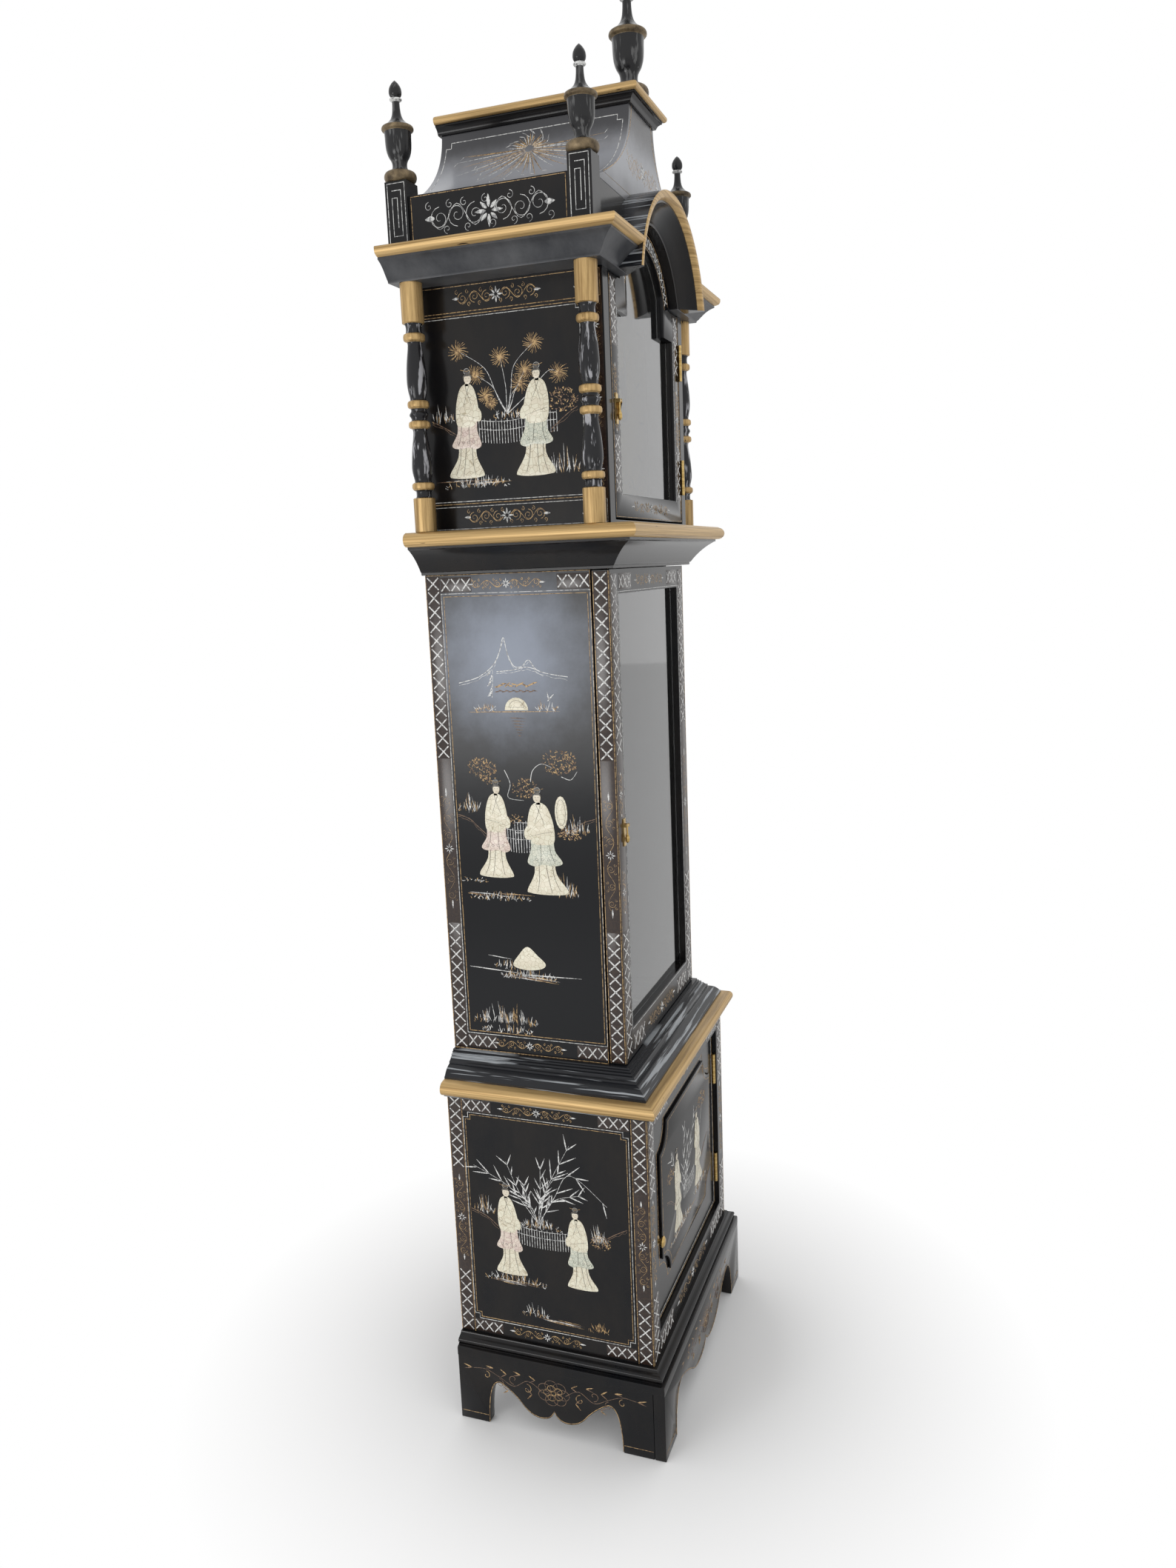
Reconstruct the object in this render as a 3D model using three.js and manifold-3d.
// Longcase clock with a break-arch hood, built as a jointed assembly.
// Units are millimetres, +Z is up, +X is the clock's left as it faces the room (the viewer's right).
// The origin is on the floor, under the middle of the bracket base. The front faces -Y.
import * as THREE from "three";
import { mergeVertices } from "three/addons/utils/BufferGeometryUtils.js";
import Module from "manifold-3d";

const wasm = await Module();
wasm.setup();

// ---------------------------------------------------------------- driving dimensions
// Stack of heights, from the floor up.
const BRACKET_HEIGHT = 110;
const PLINTH_HEIGHT = 31;
const BASE_HEIGHT = 399;
const SHOULDER_HEIGHT = 60; // the moulding between base and trunk
const TRUNK_HEIGHT = 716;
const WAIST_HEIGHT = 59; // the moulding that carries the hood
const HOOD_HEIGHT = 325;
const CORNICE_HEIGHT = 40;
const FRIEZE_HEIGHT = 64;
const COVE_HEIGHT = 130;
const CAP_HEIGHT = 23;

// Widths are halves, measured from the centre line. Depths are measured from the flat back.
const BASE_HALF = 224;
const BASE_DEPTH = 318;
const TRUNK_HALF = 187.5;
const TRUNK_DEPTH = 278;
const HOOD_HALF = 192;
const HOOD_DEPTH = 285;
const BRACKET_OUT = 20; // how far the bracket base stands out from the base box
const FRIEZE_HALF = 236;
const FRIEZE_DEPTH = 286;

// Boards, frames and gaps.
const BRACKET_BOARD = 18;
const FOOT_WIDTH_SIDE = 49;
const FOOT_WIDTH_FRONT = 58;
const BASE_BOARD = 18;
const FRAME_THICKNESS = 26;
const TRUNK_BOARD = 15;
const HOOD_BOARD = 16;
const BACK_BOARD = 10;
const TOUCH = 0.3; // gap between seated pieces that were cut to each other
const DOOR_GAP = 2; // gap around an inset door

// Doors.
const BASE_OPENING_HALF = 190;
const BASE_RAIL_LOW = 36;
const BASE_RAIL_HIGH = 31;
const BASE_DOOR_THICKNESS = 22;
const BASE_DOOR_RECESS = 8;
const BASE_DOOR_BORDER = 36; // from the door's edge to the raised panel
const PANEL_SCOOP = 40; // radius of the panel's hollow corners
const PANEL_THICKNESS = 4;
const TRUNK_DOOR_THICKNESS = 25.4;
const TRUNK_DOOR_SIDE_GAP = 0.5;
const TRUNK_STILE = 37.5;
const TRUNK_RAIL_LOW = 45;
const TRUNK_RAIL_HIGH = 34;
const HOOD_OPENING_HALF = 170;
const HOOD_SILL = 6;
const HOOD_DOOR_THICKNESS = 24;
const HOOD_STILE = 33;
const HOOD_RAIL_LOW = 33;
const HOOD_SHOULDER = 45; // solid height between the glass shoulder and the door shoulder
const GLASS_ARCH_RADIUS = 102;
const GLASS_NECK_HALF = 90;
const DOOR_ARCH_RADIUS = 124;
const ARCH_CLEARANCE = 3.5;
const ARCH_DROP = 39; // the arch's centre lies this far under the cornice
const GLASS_THICKNESS = 3;
const GLASS_SETBACK = 10;
const HINGE_RADIUS = 3;
const HINGE_LENGTH = 54;
const HINGE_LEAF = 1.2;

// Movement.
const SEAT_BOARD = 18;
const DIAL_HALF = 140;
const DIAL_SETBACK = 47; // from the hood's front to the dial's face
const DIAL_THICKNESS = 2;
const DIAL_ARCH_RADIUS = 108;
const DIAL_CENTRE_RISE = 160; // dial centre above the waist
const MOVEMENT_HALF = 80;
const MOVEMENT_HEIGHT = 190;
const PLATE_THICKNESS = 3;
const PLATE_SPACING = 70;
const DRUM_RADIUS = 22;
const GREAT_WHEEL_RADIUS = 31;
const DRUM_SPREAD = 38;
const DRUM_RISE = 62; // drum axis above the waist
const PENDULUM_LENGTH = 870;
const PENDULUM_DEPTH = 66; // pendulum plane, from the back
const BOB_RADIUS = 60;
const WEIGHT_RADIUS = 27;
const WEIGHT_LENGTH = 190;
const WEIGHT_DROP = 560; // from the waist down to the run-down weight's top
const PULLEY_RADIUS = DRUM_RADIUS / 2;
const CABLE_RADIUS = 1;

// ---------------------------------------------------------------- levels and faces that follow
const DEPTH = BASE_DEPTH + BRACKET_OUT;
const BACK = DEPTH / 2;
const Z_PLINTH = BRACKET_HEIGHT;
const Z_BASE = Z_PLINTH + PLINTH_HEIGHT;
const Z_SHOULDER = Z_BASE + BASE_HEIGHT;
const Z_TRUNK = Z_SHOULDER + SHOULDER_HEIGHT;
const Z_WAIST = Z_TRUNK + TRUNK_HEIGHT;
const Z_HOOD = Z_WAIST + WAIST_HEIGHT;
const Z_CORNICE = Z_HOOD + HOOD_HEIGHT;
const Z_FRIEZE = Z_CORNICE + CORNICE_HEIGHT;
const Z_COVE = Z_FRIEZE + FRIEZE_HEIGHT;
const Z_CAP = Z_COVE + COVE_HEIGHT;
const Z_ARCH = Z_CORNICE - ARCH_DROP;
const TRUNK_CASE_DEPTH = TRUNK_DEPTH - TRUNK_DOOR_THICKNESS - HINGE_LEAF - 0.4;

const group = new THREE.Group();

// ---------------------------------------------------------------- finishes
const FINISH = {
  lacquer: { color: 0x111114, roughness: 0.22, metalness: 0 },
  gilding: { color: 0xb9935a, roughness: 0.45, metalness: 0.6 },
  brass: { color: 0xb08d4a, roughness: 0.3, metalness: 1 },
  glass: { color: 0x9aa0a0, roughness: 0.05, metalness: 0 },
  steel: { color: 0x8b8d90, roughness: 0.35, metalness: 1 },
  dial: { color: 0xd9c9a0, roughness: 0.4, metalness: 0.2 },
  pine: { color: 0x6b5136, roughness: 0.7, metalness: 0 },
};

// ---------------------------------------------------------------- shape helpers
/** Rectangular block from low and high X, depth from the back, and Z. */
function block([x0, x1], [d0, d1], [z0, z1]) {
  const geometry = new THREE.BoxGeometry(x1 - x0, d1 - d0, z1 - z0);
  return geometry.translate((x0 + x1) / 2, BACK - (d0 + d1) / 2, (z0 + z1) / 2);
}

/** Shape drawn in X and Z, extruded from depth d0 forward to depth d1. */
function prismForward(shape, d0, d1, curveSegments = 12) {
  const geometry = new THREE.ExtrudeGeometry(shape, { depth: d1 - d0, bevelEnabled: false, curveSegments });
  return geometry.rotateX(Math.PI / 2).translate(0, BACK - d0, 0);
}

/** Shape drawn in depth and Z, extruded from x0 to x1. */
function prismAcross(shape, x0, x1, curveSegments = 12) {
  const geometry = new THREE.ExtrudeGeometry(shape, { depth: x1 - x0, bevelEnabled: false, curveSegments });
  const turn = new THREE.Matrix4().makeBasis(
    new THREE.Vector3(0, -1, 0), new THREE.Vector3(0, 0, 1), new THREE.Vector3(-1, 0, 0));
  return geometry.applyMatrix4(turn).translate(x1, BACK, 0);
}

/** Profile of [radius, z] turned about a vertical axis. */
function turnedUp(profile, x, depth, z, segments = 16) {
  const points = profile.map(([r, h]) => new THREE.Vector2(r, h));
  return new THREE.LatheGeometry(points, segments).rotateX(Math.PI / 2).translate(x, BACK - depth, z);
}

/** Profile of [radius, depth] turned about an axis that runs front to back through x, z. */
function turnedForward(profile, x, z, segments = 24) {
  const points = profile.map(([r, d]) => new THREE.Vector2(r, d));
  return new THREE.LatheGeometry(points, segments).rotateX(Math.PI).translate(x, BACK, z);
}

/** Closed profile of a plain cylinder between two heights. */
const rod = (radius, low, high) => [[0, low], [radius, low], [radius, high], [0, high]];

/** Cylinder whose axis runs along X. */
function rodAcross(radius, [x0, x1], depth, z, segments = 12) {
  const points = rod(radius, x0, x1).map(([r, h]) => new THREE.Vector2(r, h));
  return new THREE.LatheGeometry(points, segments).rotateZ(-Math.PI / 2).translate(0, BACK - depth, z);
}

/** Polygon shape from a list of points. */
const outline = (points) => new THREE.Shape(points.map(([x, y]) => new THREE.Vector2(x, y)));

/** Rectangle as a shape. */
const rectangle = (x0, x1, z0, z1) => outline([[x0, z0], [x1, z0], [x1, z1], [x0, z1]]);

/** Outline that is mirrored about the centre line, from its right half listed upwards. */
function mirrored(right) {
  const left = right.map(([x, z]) => [-x, z]).reverse();
  return outline([...right, ...left]);
}

/** Manifold solid of a closed geometry. */
function solid(geometry) {
  const bare = geometry.index ? geometry.toNonIndexed() : geometry.clone();
  bare.deleteAttribute("normal");
  bare.deleteAttribute("uv");
  const merged = mergeVertices(bare, 1e-4);
  return new wasm.Manifold(new wasm.Mesh({
    numProp: 3,
    vertProperties: merged.attributes.position.array,
    triVerts: new Uint32Array(merged.index.array),
  }));
}

/** Geometry of a manifold solid. */
function geometryOf(manifold) {
  const { vertProperties, triVerts } = manifold.getMesh();
  const geometry = new THREE.BufferGeometry();
  geometry.setAttribute("position", new THREE.BufferAttribute(vertProperties, 3));
  geometry.setIndex(new THREE.BufferAttribute(triVerts, 1));
  const loose = geometry.toNonIndexed();
  loose.computeVertexNormals();
  return loose;
}

/** Join of several geometries. */
const join = (...parts) => geometryOf(parts.map(solid).reduce((a, b) => a.add(b)));

/** First geometry with all the others cut away. */
const cut = (body, ...tools) => geometryOf(tools.map(solid).reduce((a, b) => a.subtract(b), solid(body)));

/** What two geometries share. */
const common = (a, b) => geometryOf(solid(a).intersect(solid(b)));

/** Adds a named piece with a material of its own. */
function add(name, geometry, finish) {
  const mesh = new THREE.Mesh(geometry, new THREE.MeshStandardMaterial(FINISH[finish]));
  mesh.name = name;
  group.add(mesh);
}

/**
 * Slab whose moulded edge runs round the front and both sides, with mitred corners and a flat back.
 * profile lists [out, z] upwards, and out is added to the half width and to the depth.
 */
function mouldedSlab(profile, half, depth) {
  const across = mirrored(profile.map(([out, z]) => [half + out, z]));
  const [low, high] = [profile[0][1], profile[profile.length - 1][1]];
  const along = outline([[0, low], ...profile.map(([out, z]) => [depth + out, z]), [0, high]]);
  const reach = half + Math.max(...profile.map(([out]) => out)) + 1;
  const front = depth + Math.max(...profile.map(([out]) => out)) + 1;
  return common(prismForward(across, 0, front), prismAcross(along, -reach, reach));
}

/** Space inside a moulding, open at the back. */
const throat = (half, depth, z0, z1) => block([-half, half], [-1, depth], [z0 - 1, z1 + 1]);

/** Break-arch outline: a rectangle with shoulders and a round top. */
function breakArch(half, low, shoulder, neck, radius) {
  const shape = new THREE.Shape();
  const angle = Math.acos(neck / radius);
  const spring = Z_ARCH + radius * Math.sin(angle);
  shape.moveTo(-half, low);
  shape.lineTo(half, low);
  shape.lineTo(half, shoulder);
  shape.lineTo(neck, shoulder);
  if (spring > shoulder + 0.01) shape.lineTo(neck, spring);
  shape.absarc(0, Z_ARCH, radius, angle, Math.PI - angle, false);
  shape.lineTo(-neck, shoulder);
  shape.lineTo(-half, shoulder);
  return shape;
}

/** Half width of a circle about the arch's centre, at height z. */
const chord = (radius, z) => Math.sqrt(radius ** 2 - (z - Z_ARCH) ** 2);

// ---------------------------------------------------------------- bracket base and plinth
/** Apron board outline, cusped in the middle and arched at each foot. */
function apron(half, foot) {
  const inner = half - foot;
  const shape = new THREE.Shape();
  shape.moveTo(-half, BRACKET_HEIGHT);
  shape.lineTo(-half, 0);
  shape.lineTo(-inner, 0);
  const lobe = [[0.99, 74, 0.81, 74], [0.67, 68, 0.5, 48], [0.37, 27, 0.2, 27], [0.05, 27, 0, 43]];
  for (const [cx, cz, x, z] of lobe) shape.quadraticCurveTo(-cx * inner, cz, -x * inner, z);
  const back = [[0.05, 27, 0.2, 27], [0.37, 27, 0.5, 48], [0.67, 68, 0.81, 74], [0.99, 74, 1, 0]];
  for (const [cx, cz, x, z] of back) shape.quadraticCurveTo(cx * inner, cz, x * inner, z);
  shape.lineTo(half, 0);
  shape.lineTo(half, BRACKET_HEIGHT);
  return shape;
}

const BRACKET_HALF = BASE_HALF + BRACKET_OUT;
add("bracket_front", prismForward(apron(BRACKET_HALF, FOOT_WIDTH_FRONT), DEPTH - BRACKET_BOARD, DEPTH, 6),
  "lacquer");
const bracketRun = (DEPTH - BRACKET_BOARD - TOUCH) / 2;
for (const [side, x0] of [["left", -BRACKET_HALF], ["right", BRACKET_HALF - BRACKET_BOARD]]) {
  const board = prismAcross(apron(bracketRun, FOOT_WIDTH_SIDE), x0, x0 + BRACKET_BOARD, 6);
  add(`bracket_${side}`, board.translate(0, -bracketRun, 0), "lacquer");
}

const plinthProfile = [[BRACKET_OUT, 0], [BRACKET_OUT, 14], [14, 17], [13, 19], [13, 25],
  [2, PLINTH_HEIGHT]]
  .map(([out, z]) => [out, Z_PLINTH + z]);
add("plinth_moulding", cut(
  mouldedSlab(plinthProfile, BASE_HALF, BASE_DEPTH),
  throat(BASE_HALF - BASE_BOARD - 30, BASE_DEPTH - 60, Z_PLINTH, Z_BASE)), "lacquer");

// ---------------------------------------------------------------- base box
const BASE_SIDE_DEPTH = BASE_DEPTH - FRAME_THICKNESS;
add("base_side_left", block([-BASE_HALF, BASE_BOARD - BASE_HALF], [0, BASE_SIDE_DEPTH],
  [Z_BASE, Z_SHOULDER]), "lacquer");
add("base_side_right", block([BASE_HALF - BASE_BOARD, BASE_HALF], [0, BASE_SIDE_DEPTH],
  [Z_BASE, Z_SHOULDER]), "lacquer");

const baseOpening = { low: Z_BASE + BASE_RAIL_LOW, high: Z_SHOULDER - BASE_RAIL_HIGH };
const baseFrame = rectangle(-BASE_HALF, BASE_HALF, Z_BASE, Z_SHOULDER);
baseFrame.holes.push(rectangle(-BASE_OPENING_HALF, BASE_OPENING_HALF, baseOpening.low, baseOpening.high));
add("base_frame", prismForward(baseFrame, BASE_SIDE_DEPTH, BASE_DEPTH), "lacquer");

/** Rectangle with a quarter circle hollowed out of each corner. */
function scooped(half, low, high, scoop) {
  const shape = new THREE.Shape();
  const quarter = Math.PI / 2;
  shape.moveTo(-half + scoop, low);
  shape.lineTo(half - scoop, low);
  shape.absarc(half, low, scoop, 2 * quarter, quarter, true);
  shape.lineTo(half, high - scoop);
  shape.absarc(half, high, scoop, 3 * quarter, 2 * quarter, true);
  shape.lineTo(-half + scoop, high);
  shape.absarc(-half, high, scoop, 4 * quarter, 3 * quarter, true);
  shape.lineTo(-half, low + scoop);
  shape.absarc(-half, low, scoop, quarter, 0, true);
  return shape;
}

const baseDoor = {
  half: BASE_OPENING_HALF - DOOR_GAP,
  low: baseOpening.low + DOOR_GAP,
  high: baseOpening.high - DOOR_GAP,
  front: BASE_DEPTH - BASE_DOOR_RECESS,
};
baseDoor.back = baseDoor.front - BASE_DOOR_THICKNESS;
const KNOB = { x: -baseDoor.half + 18, z: baseDoor.low + 136, shaft: 3, clearance: 0.3 };
add("base_door", cut(
  prismForward(rectangle(-baseDoor.half, baseDoor.half, baseDoor.low, baseDoor.high), baseDoor.back,
    baseDoor.front),
  turnedForward(rod(KNOB.shaft + KNOB.clearance, baseDoor.back - 1, baseDoor.front + 1), KNOB.x, KNOB.z,
    16),
), "lacquer");
add("base_door_panel", prismForward(
  scooped(baseDoor.half - BASE_DOOR_BORDER, baseDoor.low + BASE_DOOR_BORDER + 18,
    baseDoor.high - BASE_DOOR_BORDER + 14, PANEL_SCOOP),
  baseDoor.front, baseDoor.front + PANEL_THICKNESS, 6), "lacquer");

const TONGUE = { length: BASE_OPENING_HALF + 7 + KNOB.x, width: 12, thickness: 2.5 };
const knobProfile = [
  [0, -BASE_DOOR_THICKNESS - TONGUE.thickness], [KNOB.shaft, -BASE_DOOR_THICKNESS - TONGUE.thickness],
  [KNOB.shaft, TOUCH], [8, TOUCH], [8, 2], [3.5, 3], [3.5, 6], [8, 8], [9, 10.5], [6, 13], [0, 14],
].map(([r, d]) => [r, baseDoor.front + d]);
add("base_knob", join(
  turnedForward(knobProfile, KNOB.x, KNOB.z, 16),
  block([KNOB.x - TONGUE.width / 2, KNOB.x + TONGUE.width / 2],
    [baseDoor.back - TOUCH - TONGUE.thickness, baseDoor.back - TOUCH], [KNOB.z - TONGUE.length,
      KNOB.z + TONGUE.width / 2]),
), "brass");

// ---------------------------------------------------------------- shoulder moulding and trunk
const shoulderProfile = [
  [46, 0], [56.5, 5], [56.5, 26], [41, 26], [36, 32], [29, 40], [20, 46], [17, 52], [8, 55], [7,
    SHOULDER_HEIGHT],
].map(([out, z]) => [out, Z_SHOULDER + z]);
const THROAT_HALF = TRUNK_HALF - TRUNK_BOARD - 4;
const THROAT_DEPTH = TRUNK_CASE_DEPTH - 12;
add("base_top_moulding", cut(
  mouldedSlab(shoulderProfile, TRUNK_HALF, TRUNK_DEPTH),
  throat(THROAT_HALF, THROAT_DEPTH, Z_SHOULDER, Z_TRUNK)), "gilding");

add("trunk_side_left", block([-TRUNK_HALF, TRUNK_BOARD - TRUNK_HALF], [0, TRUNK_CASE_DEPTH],
  [Z_TRUNK, Z_WAIST]), "lacquer");
add("trunk_side_right", block([TRUNK_HALF - TRUNK_BOARD, TRUNK_HALF], [0, TRUNK_CASE_DEPTH],
  [Z_TRUNK, Z_WAIST]), "lacquer");

const trunkDoor = {
  half: TRUNK_HALF - TRUNK_DOOR_SIDE_GAP,
  low: Z_TRUNK + 1,
  high: Z_WAIST - 1,
  back: TRUNK_DEPTH - TRUNK_DOOR_THICKNESS,
};
trunkDoor.glass = {
  half: trunkDoor.half - TRUNK_STILE,
  low: trunkDoor.low + TRUNK_RAIL_LOW,
  high: trunkDoor.high - TRUNK_RAIL_HIGH,
  front: TRUNK_DEPTH - GLASS_SETBACK,
};
const trunkFrame = rectangle(-trunkDoor.half, trunkDoor.half, trunkDoor.low, trunkDoor.high);
trunkFrame.holes.push(rectangle(-trunkDoor.glass.half, trunkDoor.glass.half, trunkDoor.glass.low,
  trunkDoor.glass.high));
add("trunk_door", prismForward(trunkFrame, trunkDoor.back, TRUNK_DEPTH), "lacquer");
add("trunk_glass", prismForward(rectangle(
  TOUCH - trunkDoor.glass.half, trunkDoor.glass.half - TOUCH,
  trunkDoor.glass.low + TOUCH, trunkDoor.glass.high - TOUCH,
), trunkDoor.glass.front - GLASS_THICKNESS, trunkDoor.glass.front), "glass");

// ---------------------------------------------------------------- waist moulding
const waistProfile = [
  [10, 0], [10, 3], [17, 10.6], [24.5, 18], [36, 29], [49.5, 40], [55.8, 49], [57.5, 57], [57.5,
    WAIST_HEIGHT],
].map(([out, z]) => [out, Z_WAIST + z]);
add("waist_moulding", cut(
  mouldedSlab(waistProfile, TRUNK_HALF, TRUNK_DEPTH),
  throat(THROAT_HALF, THROAT_DEPTH, Z_WAIST, Z_HOOD)), "lacquer");

// ---------------------------------------------------------------- hood
const HOOD_SIDE_DEPTH = HOOD_DEPTH - FRAME_THICKNESS;
add("hood_side_left", block([-HOOD_HALF, HOOD_BOARD - HOOD_HALF], [0, HOOD_SIDE_DEPTH],
  [Z_HOOD, Z_FRIEZE]), "lacquer");
add("hood_side_right", block([HOOD_HALF - HOOD_BOARD, HOOD_HALF], [0, HOOD_SIDE_DEPTH],
  [Z_HOOD, Z_FRIEZE]), "lacquer");

const ARCH_OPENING = DOOR_ARCH_RADIUS + ARCH_CLEARANCE;
const hoodFrameSolid = rectangle(-HOOD_HALF, HOOD_HALF, Z_HOOD, Z_FRIEZE);
const hoodOpening = breakArch(HOOD_OPENING_HALF, Z_HOOD + HOOD_SILL, Z_CORNICE,
  chord(ARCH_OPENING, Z_CORNICE), ARCH_OPENING);
add("hood_frame", cut(
  prismForward(hoodFrameSolid, HOOD_SIDE_DEPTH, HOOD_DEPTH),
  prismForward(hoodOpening, HOOD_SIDE_DEPTH - 1, HOOD_DEPTH + 1)), "lacquer");

const hoodDoor = {
  half: HOOD_OPENING_HALF - DOOR_GAP,
  low: Z_HOOD + HOOD_SILL + DOOR_GAP,
  shoulder: Z_CORNICE - DOOR_GAP,
  back: HOOD_DEPTH - HOOD_DOOR_THICKNESS,
};
hoodDoor.glass = {
  half: hoodDoor.half - HOOD_STILE,
  low: hoodDoor.low + HOOD_RAIL_LOW,
  shoulder: Z_CORNICE - HOOD_SHOULDER,
  front: HOOD_DEPTH - GLASS_SETBACK,
};
const hoodDoorShape = breakArch(
  hoodDoor.half, hoodDoor.low, hoodDoor.shoulder, chord(DOOR_ARCH_RADIUS,
    hoodDoor.shoulder), DOOR_ARCH_RADIUS);
const hoodGlassHole = breakArch(
  hoodDoor.glass.half, hoodDoor.glass.low, hoodDoor.glass.shoulder, GLASS_NECK_HALF, GLASS_ARCH_RADIUS);
add("hood_door", cut(
  prismForward(hoodDoorShape, hoodDoor.back, HOOD_DEPTH),
  prismForward(hoodGlassHole, hoodDoor.back - 1, HOOD_DEPTH + 1)), "lacquer");
add("hood_glass", prismForward(breakArch(
  hoodDoor.glass.half - TOUCH, hoodDoor.glass.low + TOUCH, hoodDoor.glass.shoulder - TOUCH,
  GLASS_NECK_HALF - TOUCH, GLASS_ARCH_RADIUS - TOUCH,
), hoodDoor.glass.front - GLASS_THICKNESS, hoodDoor.glass.front), "glass");

// ---------------------------------------------------------------- cornice with its arch
const CORNICE_SIDE_OUT = 46.5; // the straight cornice covers the columns at the sides
const CORNICE_FRONT_OUT = 13;
const corniceCurve = [[0, 0], [1, 3], [8.2, 10], [16, 20], [24.5, 27.5], [32.5, 33],
  [31.5, CORNICE_HEIGHT]];
const corniceSlab = mouldedSlab(
  corniceCurve.map(([out, z]) => [out,
    Z_CORNICE + z]), HOOD_HALF + CORNICE_SIDE_OUT, HOOD_DEPTH + CORNICE_FRONT_OUT);
const ARCH_INNER = ARCH_OPENING;
const ARCH_PROUD = 0.6; // the arch stands this much in front of the straight runs it meets
const archRing = [
  [ARCH_INNER, FRIEZE_DEPTH + TOUCH],
  [ARCH_INNER + CORNICE_HEIGHT, FRIEZE_DEPTH + TOUCH],
  ...corniceCurve.map(([out, z]) => [ARCH_INNER + z,
    HOOD_DEPTH + CORNICE_FRONT_OUT + ARCH_PROUD + out]).reverse(),
  [ARCH_INNER, FRIEZE_DEPTH + TOUCH],
];
const aboveCornice = block([-HOOD_HALF, HOOD_HALF], [FRIEZE_DEPTH - 1, DEPTH + 20],
  [Z_CORNICE + ARCH_PROUD, Z_CAP]);
// The straight runs end inside the arch's foot.
const runEnd = (chord(ARCH_INNER, Z_CORNICE) + chord(ARCH_INNER + CORNICE_HEIGHT, Z_FRIEZE)) / 2;
const straightCornice = solid(corniceSlab)
  .subtract(solid(throat(HOOD_HALF + TOUCH, HOOD_DEPTH + TOUCH, Z_CORNICE, Z_FRIEZE)))
  .subtract(solid(throat(runEnd, DEPTH + 40, Z_CORNICE, Z_FRIEZE)));
const archMoulding = solid(turnedForward(archRing, 0, Z_ARCH, 40)).intersect(solid(aboveCornice));
add("cornice", geometryOf(straightCornice.add(archMoulding)), "lacquer");

// ---------------------------------------------------------------- caddy top
const PEDESTAL = { half: 16, x: BASE_HALF, inset: 21, height: 84 };
const pedestalSpots = {
  front_left: [-PEDESTAL.x, FRIEZE_DEPTH - 10],
  front_right: [PEDESTAL.x, FRIEZE_DEPTH - 10],
  back_left: [-PEDESTAL.x, PEDESTAL.inset],
  back_right: [PEDESTAL.x, PEDESTAL.inset],
};
const friezeBox = solid(block([-FRIEZE_HALF, FRIEZE_HALF], [4, FRIEZE_DEPTH], [Z_FRIEZE, Z_COVE]));
const pedestals = Object.values(pedestalSpots).map(([x, d]) => solid(block(
  [x - PEDESTAL.half, x + PEDESTAL.half], [d - PEDESTAL.half, d + PEDESTAL.half], [Z_FRIEZE,
    Z_FRIEZE + PEDESTAL.height])));
const friezeHollow = solid(block(
  [-HOOD_HALF + HOOD_BOARD, HOOD_HALF - HOOD_BOARD], [20, HOOD_SIDE_DEPTH], [Z_FRIEZE - 1, Z_COVE - 10]));
const friezeArch = solid(turnedForward(rod(ARCH_OPENING, HOOD_SIDE_DEPTH - 5, FRIEZE_DEPTH + 10), 0,
  Z_ARCH, 48));
add("caddy_frieze", geometryOf(
  pedestals.reduce((a, b) => a.add(b), friezeBox).subtract(friezeHollow).subtract(friezeArch)), "lacquer");

const COVE_TOP_HALF = 57;
const COVE_FOOT_HALF = PEDESTAL.x - PEDESTAL.half - 1;
const coveShape = new THREE.Shape();
coveShape.moveTo(-COVE_FOOT_HALF, Z_COVE);
coveShape.lineTo(COVE_FOOT_HALF, Z_COVE);
coveShape.bezierCurveTo(115, Z_COVE + 31, COVE_TOP_HALF + 3, Z_COVE + 76, COVE_TOP_HALF, Z_CAP);
coveShape.lineTo(-COVE_TOP_HALF, Z_CAP);
coveShape.bezierCurveTo(-COVE_TOP_HALF - 3, Z_COVE + 76, -115, Z_COVE + 31, -COVE_FOOT_HALF, Z_COVE);
add("caddy_cove", prismForward(coveShape, 4, FRIEZE_DEPTH, 14), "lacquer");

const capProfile = [[0, 0], [4, 3], [9, 9], [10, 11], [17, 13], [17, CAP_HEIGHT - 2], [15, CAP_HEIGHT]]
  .map(([out, z]) => [out, Z_CAP + z]);
add("caddy_moulding", mouldedSlab(capProfile, COVE_TOP_HALF, FRIEZE_DEPTH), "gilding");

// ---------------------------------------------------------------- finials and columns
const FINIAL = [
  [0, 0], [14, 0], [21, 4], [21, 13], [12, 16], [10, 24], [16, 40], [17, 54], [15, 64], [20.5, 66], [20.5,
    72],
  [7, 78], [5, 90], [5, 102], [8.5, 110], [5, 117], [0, 125],
];
const finialSpots = Object.entries(pedestalSpots).map(([name, [x, d]]) => [name, x, d,
  Z_FRIEZE + PEDESTAL.height, 1]);
finialSpots.push(["centre", 0, FRIEZE_DEPTH - 16, Z_CAP + CAP_HEIGHT, 1.28]);
for (const [name, x, d, z, scale] of finialSpots) {
  const profile = FINIAL.map(([r, h]) => [r * scale, h * scale]);
  add(`finial_${name}`, turnedUp(profile, x, d, z, 12), "gilding");
}

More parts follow.
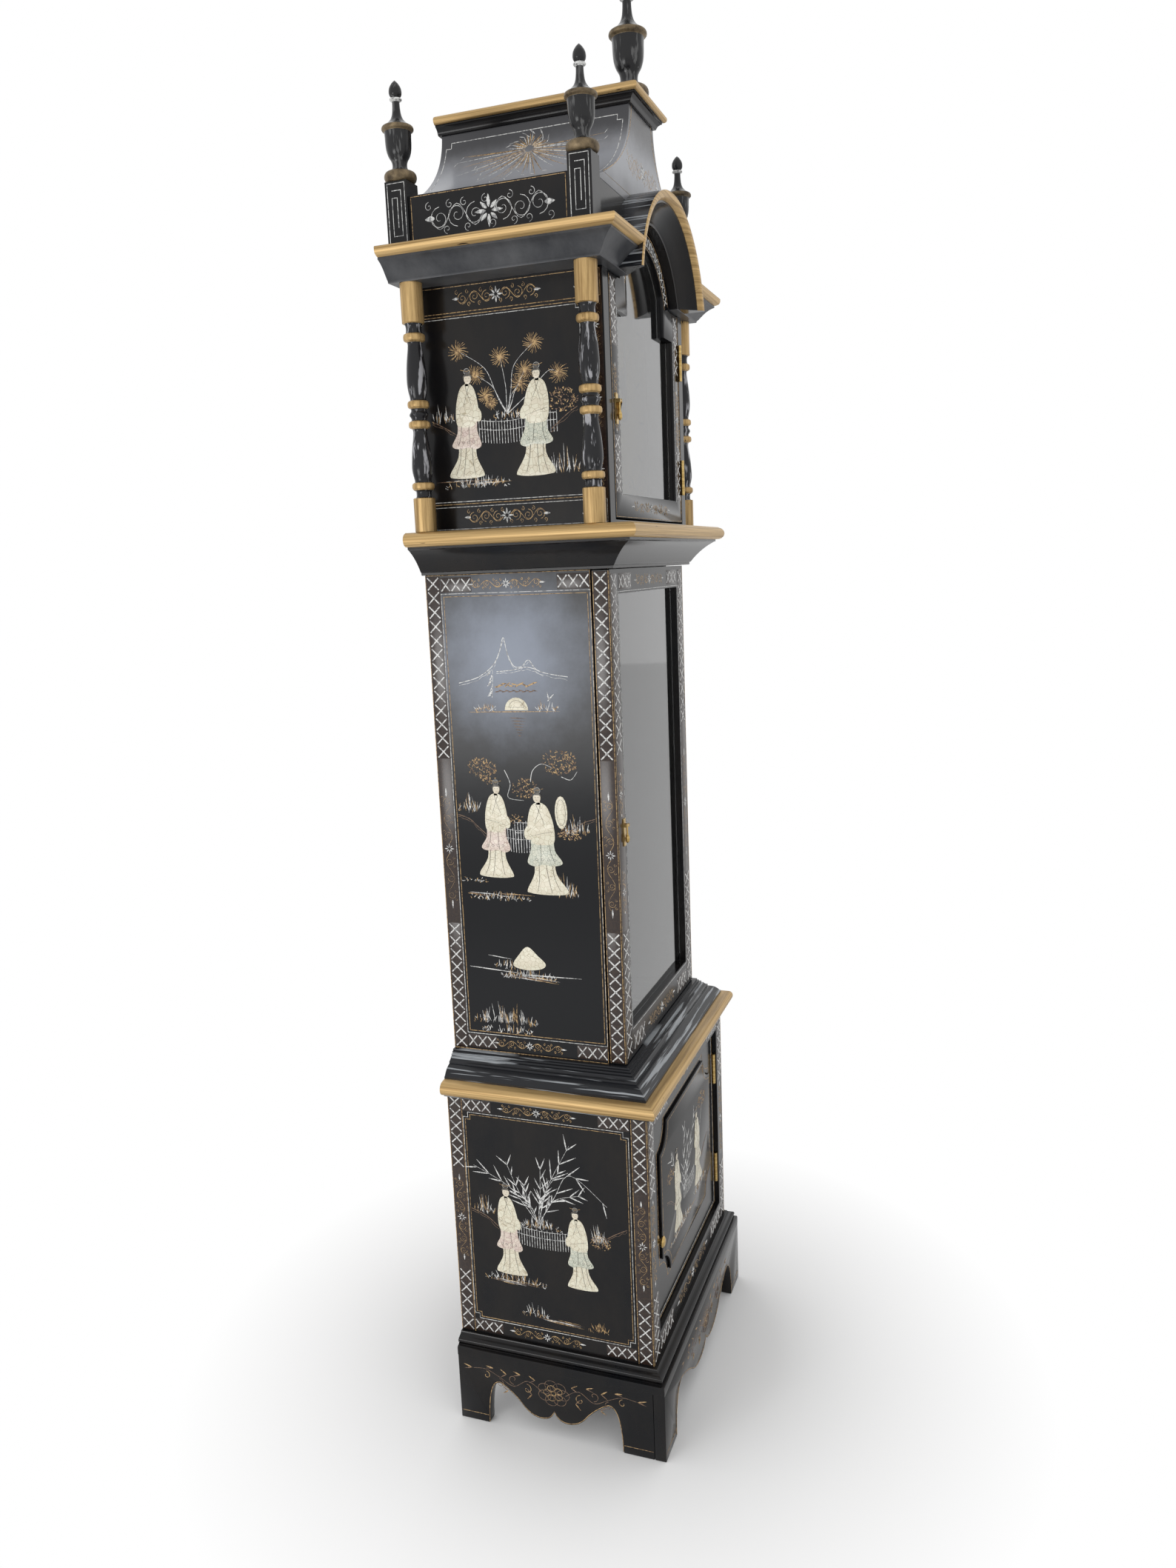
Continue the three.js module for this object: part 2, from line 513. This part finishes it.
const COLUMN = { x: BASE_HALF, front: HOOD_DEPTH - 11, back: 26 };
const columnTurning = [
  [15, 0], [15, 46], [11, 48], [11, 56], [15, 58], [15, 66], [12, 69], [13.5, 90], [9.5, 136], [14.5, 139],
  [14.5, 147], [11, 149], [11, 163], [14.5, 165], [14.5, 174], [11, 177], [13.5, 200], [10, 249], [14.5,
    252],
  [14.5, 260], [11, 262], [11, 272], [15, 274],
];
const columnProfile = [[0, 0], ...columnTurning, [15, HOOD_HEIGHT - TOUCH], [0, HOOD_HEIGHT - TOUCH]];
for (const [side, x] of [["left", -COLUMN.x], ["right", COLUMN.x]]) {
  for (const end of ["front", "back"]) {
    add(`column_${end}_${side}`, turnedUp(columnProfile, x, COLUMN[end], Z_HOOD, 12), "gilding");
  }
}

// ---------------------------------------------------------------- back board
const backSteps = [
  [Z_BASE, BASE_HALF - BASE_BOARD - TOUCH], [Z_SHOULDER, THROAT_HALF - TOUCH], [Z_TRUNK,
    TRUNK_HALF - TRUNK_BOARD - TOUCH],
  [Z_WAIST, THROAT_HALF - TOUCH], [Z_HOOD, HOOD_HALF - HOOD_BOARD - TOUCH], [Z_FRIEZE, 0],
];
const backRight = backSteps.slice(0, -1).flatMap(([z, half], i) => [[half, z], [half,
  backSteps[i + 1][0]]]);
add("back_board", prismForward(mirrored(backRight), 0, BACK_BOARD), "pine");

// ---------------------------------------------------------------- hinges
/** Butt hinge of an inset door: leaf on the frame's reveal, barrel in front of the door's face. */
function insetHinge(openingHalf, face, zMiddle) {
  const x = openingHalf - HINGE_RADIUS - 0.2;
  const depth = face + HINGE_RADIUS + 0.2;
  const [low, high] = [zMiddle - HINGE_LENGTH / 2, zMiddle + HINGE_LENGTH / 2];
  return join(
    turnedUp(rod(HINGE_RADIUS, low, high), x, depth, 0, 12),
    block([openingHalf - HINGE_LEAF - 0.1, openingHalf - 0.1], [face - 18, depth], [low, high]));
}

/** Butt hinge of the overlaid trunk door: leaf on the case side's front edge, barrel outside. */
function trunkHinge(zMiddle) {
  const x = TRUNK_HALF + HINGE_RADIUS + 0.2;
  const depth = TRUNK_CASE_DEPTH + HINGE_LEAF - 0.1;
  const [low, high] = [zMiddle - HINGE_LENGTH / 2, zMiddle + HINGE_LENGTH / 2];
  return join(
    turnedUp(rod(HINGE_RADIUS, low, high), x, depth, 0, 12),
    block([TRUNK_HALF - TRUNK_BOARD + 1, x], [TRUNK_CASE_DEPTH + 0.1, TRUNK_CASE_DEPTH + HINGE_LEAF],
      [low, high]));
}

const HINGE_INSET = 70;
add("base_hinge_lower", insetHinge(BASE_OPENING_HALF, baseDoor.front, baseDoor.low + HINGE_INSET), "brass");
add("base_hinge_upper", insetHinge(BASE_OPENING_HALF, baseDoor.front, baseDoor.high - HINGE_INSET),
  "brass");
add("trunk_hinge_lower", trunkHinge(trunkDoor.low + 2 * HINGE_INSET), "brass");
add("trunk_hinge_upper", trunkHinge(trunkDoor.high - 2 * HINGE_INSET), "brass");
add("hood_hinge_lower", insetHinge(HOOD_OPENING_HALF, HOOD_DEPTH, hoodDoor.low + HINGE_INSET), "brass");
add("hood_hinge_upper", insetHinge(HOOD_OPENING_HALF, HOOD_DEPTH, hoodDoor.shoulder - HINGE_INSET),
  "brass");

// ---------------------------------------------------------------- door pulls
const PULL = { plateHalf: 4.5, plateHeight: 40, plate: 1.6, lug: 1.4, pin: 1, eye: 2.4, standoff: 5,
  drop: 26 };

/** Back plate with two lugs and the pin between them. */
function pullPost(x, face, z) {
  const half = PULL.plateHalf;
  const top = z + PULL.plateHeight / 2 - 10;
  const reach = [face + PULL.plate - 0.5, face + PULL.standoff + PULL.eye];
  const lug = (x0) => block([x0, x0 + PULL.lug], reach, [top - PULL.eye, top + PULL.eye]);
  return join(
    block([x - half, x + half], [face, face + PULL.plate],
      [z - PULL.plateHeight / 2, z + PULL.plateHeight / 2]),
    lug(x - half), lug(x + half - PULL.lug),
    rodAcross(PULL.pin, [x - half + 0.5, x + half - 0.5], face + PULL.standoff, top, 10));
}

/** Drop that swings on the pin. */
function pullDrop(x, face, z) {
  const top = z + PULL.plateHeight / 2 - 10;
  const half = PULL.plateHalf - PULL.lug - 0.3;
  const drop = [[0, -PULL.drop], [3, -PULL.drop + 3], [3.2, -PULL.drop + 8], [1.4, -12], [1.4, -1.5],
    [0, -1.5]];
  return cut(
    join(
      rodAcross(PULL.eye, [x - half, x + half], face + PULL.standoff, top, 14),
      turnedUp(drop, x, face + PULL.standoff, top, 12)),
    rodAcross(PULL.pin + 0.3, [x - half - 1, x + half + 1], face + PULL.standoff, top, 14));
}

const pullSpots = {
  trunk: [-trunkDoor.glass.half - 12, TRUNK_DEPTH, (trunkDoor.low + trunkDoor.high) / 2 - 13],
  hood: [-hoodDoor.glass.half - 18, HOOD_DEPTH, (hoodDoor.low + hoodDoor.shoulder) / 2 - 14],
};
for (const [door, spot] of Object.entries(pullSpots)) {
  add(`${door}_pull_post`, pullPost(...spot), "brass");
  add(`${door}_pull`, pullDrop(...spot), "brass");
}

// ---------------------------------------------------------------- seat board and movement
const Z_SEAT = Z_HOOD + SEAT_BOARD;
const Z_DIAL = Z_HOOD + DIAL_CENTRE_RISE;
const DIAL_FACE = HOOD_DEPTH - DIAL_SETBACK;
const PLATE_FRONT = DIAL_FACE - 60; // face of the movement's front plate
const PLATE_BACK = PLATE_FRONT - PLATE_SPACING;
const DRUM_MIDDLE = PLATE_FRONT - PLATE_SPACING / 2;
const Z_DRUM = Z_HOOD + DRUM_RISE;
const drumSpots = { left: -DRUM_SPREAD, right: DRUM_SPREAD };

/** Pulley axis and the places of the two vertical strands of a cable, from its drum's axis. */
function strands(drumX) {
  const outward = Math.sign(drumX);
  const x = drumX + outward * (DRUM_RADIUS - PULLEY_RADIUS);
  const reach = PULLEY_RADIUS + CABLE_RADIUS + TOUCH;
  return { x, reach, outer: x + outward * reach, inner: x - outward * reach };
}

const cableSlots = Object.values(drumSpots).flatMap((drumX) => {
  const { outer, inner } = strands(drumX);
  return [
    block([outer - 5, outer + 5], [DRUM_MIDDLE - 9, DRUM_MIDDLE + 9], [Z_HOOD - 1, Z_SEAT + 1]),
    turnedUp(rod(CABLE_RADIUS + TOUCH, Z_HOOD - 1, Z_SEAT + 1), inner, DRUM_MIDDLE, 0, 12),
  ];
});
const seat = { half: HOOD_HALF - HOOD_BOARD - 1, back: 90, front: DIAL_FACE - 12 };
add("seat_board", cut(block([-seat.half, seat.half], [seat.back, seat.front], [Z_HOOD, Z_SEAT]),
  ...cableSlots), "pine");

const SUSPENSION = { z: Z_SEAT + MOVEMENT_HEIGHT - 6, stud: 3 };
const plate = (front) => block([-MOVEMENT_HALF, MOVEMENT_HALF], [front - PLATE_THICKNESS, front],
  [Z_SEAT, Z_SEAT + MOVEMENT_HEIGHT]);
const pillars = [-1, 1].flatMap((side) => [14, MOVEMENT_HEIGHT - 14].map((rise) => turnedForward(
  rod(5, PLATE_BACK - 1, PLATE_FRONT - 1), side * (MOVEMENT_HALF - 8), Z_SEAT + rise, 10)));
const drumHoles = Object.values(drumSpots).map((x) => turnedForward(rod(3.3, PLATE_BACK - 10,
  PLATE_FRONT + 10), x, Z_DRUM, 12));
const centreHole = turnedForward(rod(2.3, PLATE_BACK - 10, PLATE_FRONT + 10), 0, Z_DIAL, 12);
const suspensionStud = turnedForward(
  rod(SUSPENSION.stud, PENDULUM_DEPTH - 8, PLATE_BACK - 1), 0, SUSPENSION.z, 12);
add("movement_plates", geometryOf([
  plate(PLATE_BACK), ...pillars, suspensionStud].map(solid).reduce((a,
    b) => a.add(b), solid(plate(PLATE_FRONT)))
  .subtract([...drumHoles, centreHole].map(solid).reduce((a, b) => a.add(b)))), "brass");

const drumProfile = [
  [0, PLATE_BACK - PLATE_THICKNESS - 2], [3, PLATE_BACK - PLATE_THICKNESS - 2], [3,
    PLATE_BACK + 4], [GREAT_WHEEL_RADIUS, PLATE_BACK + 4],
  [GREAT_WHEEL_RADIUS, PLATE_BACK + 7], [DRUM_RADIUS, PLATE_BACK + 7], [DRUM_RADIUS,
    PLATE_FRONT - PLATE_THICKNESS - 9],
  [DRUM_RADIUS + 4, PLATE_FRONT - PLATE_THICKNESS - 9], [DRUM_RADIUS + 4,
    PLATE_FRONT - PLATE_THICKNESS - 6],
  [3, PLATE_FRONT - PLATE_THICKNESS - 6], [3, DIAL_FACE + 3], [0, DIAL_FACE + 3],
];
for (const [side, x] of Object.entries(drumSpots)) {
  add(`drum_${side}`, turnedForward(drumProfile, x, Z_DRUM, 16), "brass");
}

// ---------------------------------------------------------------- dial
const Z_SECONDS = Z_DIAL + 42;
const dialBack = DIAL_FACE - DIAL_THICKNESS;
const MOON = { radius: 84, hump: 30, humpX: 52, z: Z_ARCH + 8, pin: 2.5 };
const dialShape = breakArch(
  DIAL_HALF, Z_DIAL - DIAL_HALF, Z_DIAL + DIAL_HALF, chord(DIAL_ARCH_RADIUS,
    Z_DIAL + DIAL_HALF), DIAL_ARCH_RADIUS);
const moonWindow = new THREE.Shape();
moonWindow.moveTo(MOON.radius, MOON.z);
moonWindow.absarc(0, MOON.z, MOON.radius, 0, Math.PI, false);
moonWindow.absarc(-MOON.humpX, MOON.z, MOON.hump, Math.PI, 0, true);
moonWindow.absarc(MOON.humpX, MOON.z, MOON.hump, Math.PI, 0, true);
const dialHoles = [
  turnedForward(rod(5, dialBack - 1, DIAL_FACE + 1), 0, Z_DIAL, 16),
  turnedForward(rod(2, dialBack - 1, DIAL_FACE + 1), 0, Z_SECONDS, 12),
  ...Object.values(drumSpots).map((x) => turnedForward(rod(5, dialBack - 1, DIAL_FACE + 1), x, Z_DRUM, 14)),
  prismForward(moonWindow, dialBack - 1, DIAL_FACE + 1, 10),
];
const dialFeet = [-1, 1].flatMap((side) => [-1, 1].map((up) => turnedForward(
  rod(3, PLATE_FRONT,
    dialBack + 1), side * (MOVEMENT_HALF - 8),
    Z_SEAT + MOVEMENT_HEIGHT / 2 + up * (MOVEMENT_HEIGHT / 2 - 26), 10)));
const moonStud = turnedForward(rod(MOON.pin, dialBack - 8, dialBack + 1), 0, MOON.z, 12);
add("dial_plate", geometryOf([...dialFeet, moonStud].map(solid)
  .reduce((a, b) => a.add(b), solid(cut(prismForward(dialShape, dialBack, DIAL_FACE, 10),
    ...dialHoles)))), "dial");
add("moon_disc", turnedForward([
  [MOON.pin + 0.3, dialBack - 5], [MOON.radius + 2, dialBack - 5], [MOON.radius + 2, dialBack - 3.5],
  [MOON.pin + 0.3, dialBack - 3.5], [MOON.pin + 0.3, dialBack - 5]], 0, MOON.z, 28), "dial");

// ---------------------------------------------------------------- hands
/** Hand pointing up from the dial's centre, with its boss at the bottom. */
function hand(length, width, boss, [d0, d1], z) {
  const shape = new THREE.Shape();
  const start = Math.asin(width / 4 / boss);
  shape.moveTo(-boss * Math.sin(start), boss * Math.cos(start));
  shape.lineTo(-width / 4, length * 0.3);
  shape.lineTo(-width / 2, length * 0.6);
  shape.lineTo(0, length);
  shape.lineTo(width / 2, length * 0.6);
  shape.lineTo(width / 4, length * 0.3);
  shape.absarc(0, 0, boss, Math.PI / 2 - start, Math.PI / 2 + start - 2 * Math.PI, true);
  return prismForward(shape, d0, d1, 8).translate(0, 0, z);
}

const HOUR_PIPE = { inner: 2.3, outer: 4 };
add("hour_hand", cut(
  join(
    hand(68, 12, 9, [DIAL_FACE + 5, DIAL_FACE + 6.5], Z_DIAL),
    turnedForward(rod(HOUR_PIPE.outer, PLATE_FRONT + 2, DIAL_FACE + 8), 0, Z_DIAL, 14)),
  turnedForward(rod(HOUR_PIPE.inner, PLATE_FRONT, DIAL_FACE + 10), 0, Z_DIAL, 14)), "steel");
add("minute_hand", join(
  hand(104, 9, 7, [DIAL_FACE + 9, DIAL_FACE + 10.5], Z_DIAL),
  turnedForward(rod(2, PLATE_FRONT - 20, DIAL_FACE + 13), 0, Z_DIAL, 12)), "steel");
add("second_hand", join(
  hand(26, 4, 3, [DIAL_FACE + 2, DIAL_FACE + 3], Z_SECONDS),
  turnedForward(rod(1.4, PLATE_FRONT + 0.3, DIAL_FACE + 3.5), 0, Z_SECONDS, 10)), "steel");

// ---------------------------------------------------------------- pendulum
const Z_BOB = SUSPENSION.z - PENDULUM_LENGTH;
const rodHalf = 6;
const loop = SUSPENSION.stud + 0.4;
add("pendulum_rod", cut(
  join(
    block([-rodHalf, rodHalf], [PENDULUM_DEPTH - 2.5, PENDULUM_DEPTH + 2.5],
      [Z_BOB - BOB_RADIUS - 24, SUSPENSION.z]),
    turnedForward(rod(8, PENDULUM_DEPTH - 2.5, PENDULUM_DEPTH + 2.5), 0, SUSPENSION.z, 16)),
  turnedForward(rod(loop, PENDULUM_DEPTH - 5, PENDULUM_DEPTH + 5), 0, SUSPENSION.z, 12)), "pine");
const bobProfile = [[0, -9], [BOB_RADIUS * 0.6, -8], [BOB_RADIUS, -1.5], [BOB_RADIUS, 1.5],
  [BOB_RADIUS * 0.6, 8], [0, 9]]
  .map(([r, d]) => [r, PENDULUM_DEPTH + d]);
add("pendulum_bob", cut(
  turnedForward(bobProfile, 0, Z_BOB, 24),
  block([-rodHalf - TOUCH, rodHalf + TOUCH], [PENDULUM_DEPTH - 2.8, PENDULUM_DEPTH + 2.8],
    [Z_BOB - BOB_RADIUS - 1, Z_BOB + BOB_RADIUS + 1])), "brass");

// ---------------------------------------------------------------- weights and cables
const Z_WEIGHT_TOP = Z_WAIST + WAIST_HEIGHT - WEIGHT_DROP;
const Z_PULLEY = Z_WEIGHT_TOP + 34;
const weightProfile = [
  [0, -WEIGHT_LENGTH - 10], [3, -WEIGHT_LENGTH - 10], [4, -WEIGHT_LENGTH], [WEIGHT_RADIUS, -WEIGHT_LENGTH],
  [WEIGHT_RADIUS, 0], [4, 0], [3, 10], [0, 10],
];
/** Round section of the cable. */
function cableSection() {
  const section = new THREE.Shape();
  section.absarc(0, 0, CABLE_RADIUS, 0, 2 * Math.PI, false);
  return section;
}

/** Half circle under a pulley, in the cables' plane. */
function halfTurn(x, z, radius) {
  const curve = new THREE.Curve();
  curve.getPoint = (t, target = new THREE.Vector3()) => target.set(
    x + radius * Math.cos(Math.PI * (1 + t)), BACK - DRUM_MIDDLE, z + radius * Math.sin(Math.PI * (1 + t)));
  return curve;
}

for (const [side, x0] of Object.entries(drumSpots)) {
  const { x } = strands(x0);
  const pulley = turnedForward([
    [0, DRUM_MIDDLE - 3], [PULLEY_RADIUS + 2, DRUM_MIDDLE - 3], [PULLEY_RADIUS, DRUM_MIDDLE - 1.2],
    [PULLEY_RADIUS, DRUM_MIDDLE + 1.2], [PULLEY_RADIUS + 2, DRUM_MIDDLE + 3], [0,
      DRUM_MIDDLE + 3]], x, Z_PULLEY, 14);
  const stirrup = [-1, 1].map((end) => block(
    [x - 3, x + 3], [DRUM_MIDDLE + end * 5 - 1, DRUM_MIDDLE + end * 5 + 1], [Z_WEIGHT_TOP + 4,
      Z_PULLEY + 5]));
  const yoke = block([x - 3, x + 3], [DRUM_MIDDLE - 6, DRUM_MIDDLE + 6],
    [Z_WEIGHT_TOP + 4, Z_WEIGHT_TOP + 8]);
  const axle = turnedForward(rod(1.5, DRUM_MIDDLE - 6.5, DRUM_MIDDLE + 6.5), x, Z_PULLEY, 10);
  add(`weight_${side}`, join(turnedUp(weightProfile, x, DRUM_MIDDLE, Z_WEIGHT_TOP, 16), pulley,
    ...stirrup, yoke, axle), "brass");

  // The cable leaves the drum's outer side, rounds the pulley and is knotted on the seat board.
  const { outer, inner, reach } = strands(x0);
  const bend = new THREE.ExtrudeGeometry(cableSection(), {
    steps: 12, extrudePath: halfTurn(x, Z_PULLEY + 0.1, reach), curveSegments: 4,
  });
  add(`cable_${side}`, join(
    turnedUp(rod(CABLE_RADIUS, Z_PULLEY, Z_DRUM), outer, DRUM_MIDDLE, 0, 8),
    turnedUp(rod(CABLE_RADIUS, Z_PULLEY, Z_SEAT + TOUCH + 1), inner, DRUM_MIDDLE, 0, 8),
    turnedUp(rod(3 * CABLE_RADIUS, Z_SEAT + TOUCH, Z_SEAT + TOUCH + 3), inner, DRUM_MIDDLE, 0, 10),
    bend), "steel");
}

export default group;
